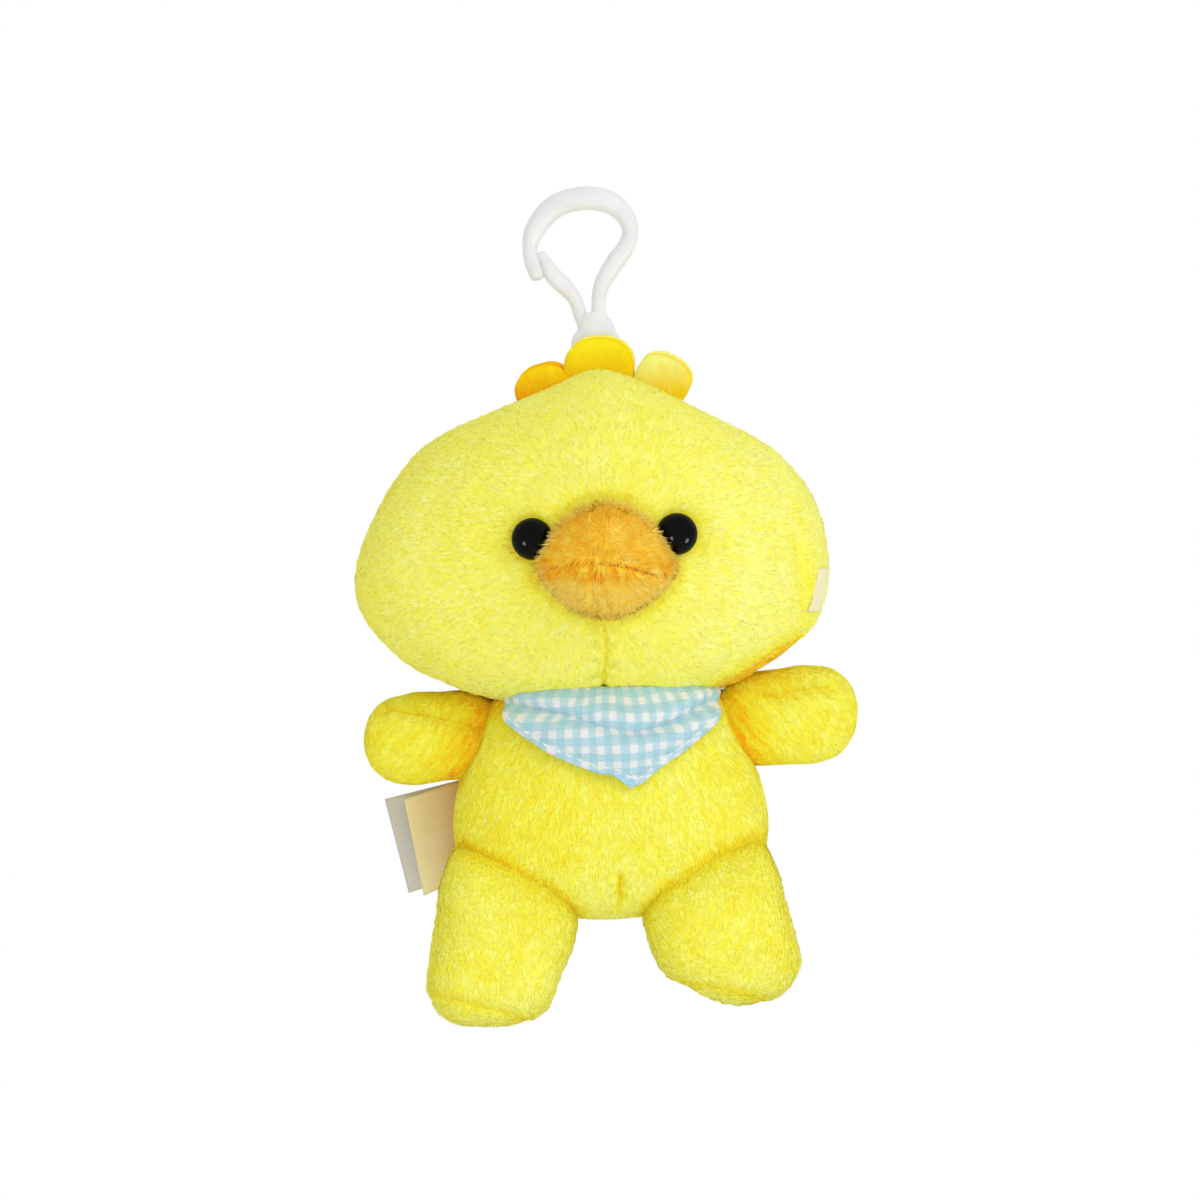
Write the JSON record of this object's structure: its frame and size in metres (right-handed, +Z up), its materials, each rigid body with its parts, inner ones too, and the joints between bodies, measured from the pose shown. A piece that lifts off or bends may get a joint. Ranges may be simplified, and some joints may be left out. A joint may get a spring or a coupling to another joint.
{
  "type": "plush chick keychain",
  "caption": "Small stuffed plush chick with a big head, stub arms and legs, a neck bandana and sewn labels, hanging by a ribbon from a white plastic snap clip.",
  "frame": {"origin": "the crown of the clip's loop, on its inside, where a ring or strap carries the keychain", "axes": "+Z up, the chick faces -Y, and its left side is towards +X"},
  "size_m": [0.0894, 0.0651, 0.1499],
  "materials": {
    "clip": "milky translucent moulded plastic",
    "ribbon": "woven ribbon",
    "head_plush": "short-pile plush, lemon yellow",
    "body_plush": "short-pile plush, yellow",
    "limb_plush": "short-pile plush, warm yellow",
    "stuffing": "white polyester fibre filling",
    "beak_plush": "short-pile plush, orange",
    "crest_front": "short-pile plush, golden yellow",
    "crest_back": "short-pile plush, pale yellow",
    "eye": "polished black",
    "washer": "plain white",
    "bandana": "woven cotton, pale blue and white gingham",
    "label_cream": "satin label tape, cream, bare",
    "label_grey": "satin label tape, off-white, bare"
  },
  "bodies": {
    "clip": {"clip_hook": "clip"},
    "gate": {"clip_gate": "clip"},
    "toy": {"hanging_ribbon": "ribbon", "head_front": "head_plush", "head_back": "head_plush", "head_stuffing": "stuffing", "beak_upper": "beak_plush", "beak_lower": "beak_plush", "eye_left": "eye", "eye_right": "eye", "eye_washer_left": "washer", "eye_washer_right": "washer", "crest_left_front": "crest_front", "crest_left_back": "crest_back", "crest_middle_front": "crest_front", "crest_middle_back": "crest_back", "crest_right_front": "crest_front", "crest_right_back": "crest_back", "body_front": "body_plush", "body_back": "body_plush", "body_stuffing": "stuffing", "bandana": "bandana", "head_side_label": "label_grey"},
    "arm_left": {"arm_left_front": "limb_plush", "arm_left_back": "limb_plush", "arm_left_stuffing": "stuffing"},
    "arm_right": {"arm_right_front": "limb_plush", "arm_right_back": "limb_plush", "arm_right_stuffing": "stuffing"},
    "leg_left": {"leg_left_front": "limb_plush", "leg_left_back": "limb_plush", "leg_left_stuffing": "stuffing", "sole_left": "limb_plush"},
    "leg_right": {"leg_right_front": "limb_plush", "leg_right_back": "limb_plush", "leg_right_stuffing": "stuffing", "sole_right": "limb_plush"},
    "labels": {"care_label_front": "label_cream", "care_label_back": "label_grey"}
  },
  "joints": [
    {"name": "gate_flex", "type": "hinge", "parent": "clip", "child": "gate", "pos_m": [-0.0011, 0, -0.01831], "axis": [0, 1, 0], "range_deg": [0, 14], "stiffness_Nm_per_rad": 0.00002, "springref_deg": -5.73},
    {"name": "clip_swing", "type": "hinge", "parent": "clip", "child": "toy", "pos_m": [0.0006, 0, -0.02725], "axis": [1, 0, 0], "range_deg": [-8, 75]},
    {"name": "arm_left_bend", "type": "hinge", "parent": "toy", "child": "arm_left", "pos_m": [0.0251, -0.0002, -0.09361], "axis": [0, 1, 0], "range_deg": [0, 20], "stiffness_Nm_per_rad": 0.002, "springref_deg": -1.72},
    {"name": "arm_right_bend", "type": "hinge", "parent": "toy", "child": "arm_right", "pos_m": [-0.0215, -0.0002, -0.09491], "axis": [0, -1, 0], "range_deg": [0, 20], "stiffness_Nm_per_rad": 0.002, "springref_deg": -1.72},
    {"name": "leg_left_kick", "type": "hinge", "parent": "toy", "child": "leg_left", "pos_m": [0.02035, -0.01557, -0.11791], "axis": [-1, 0, 0], "range_deg": [0, 35], "stiffness_Nm_per_rad": 0.01, "springref_deg": -2.29},
    {"name": "leg_right_kick", "type": "hinge", "parent": "toy", "child": "leg_right", "pos_m": [-0.01915, -0.01557, -0.11791], "axis": [-1, 0, 0], "range_deg": [0, 35], "stiffness_Nm_per_rad": 0.01, "springref_deg": -2.29},
    {"name": "label_flap", "type": "hinge", "parent": "toy", "child": "labels", "pos_m": [-0.02495, 0.0102, -0.11261], "axis": [0, 0, -1], "range_deg": [0, 35], "stiffness_Nm_per_rad": 0.00001, "springref_deg": -5.73}
  ]
}
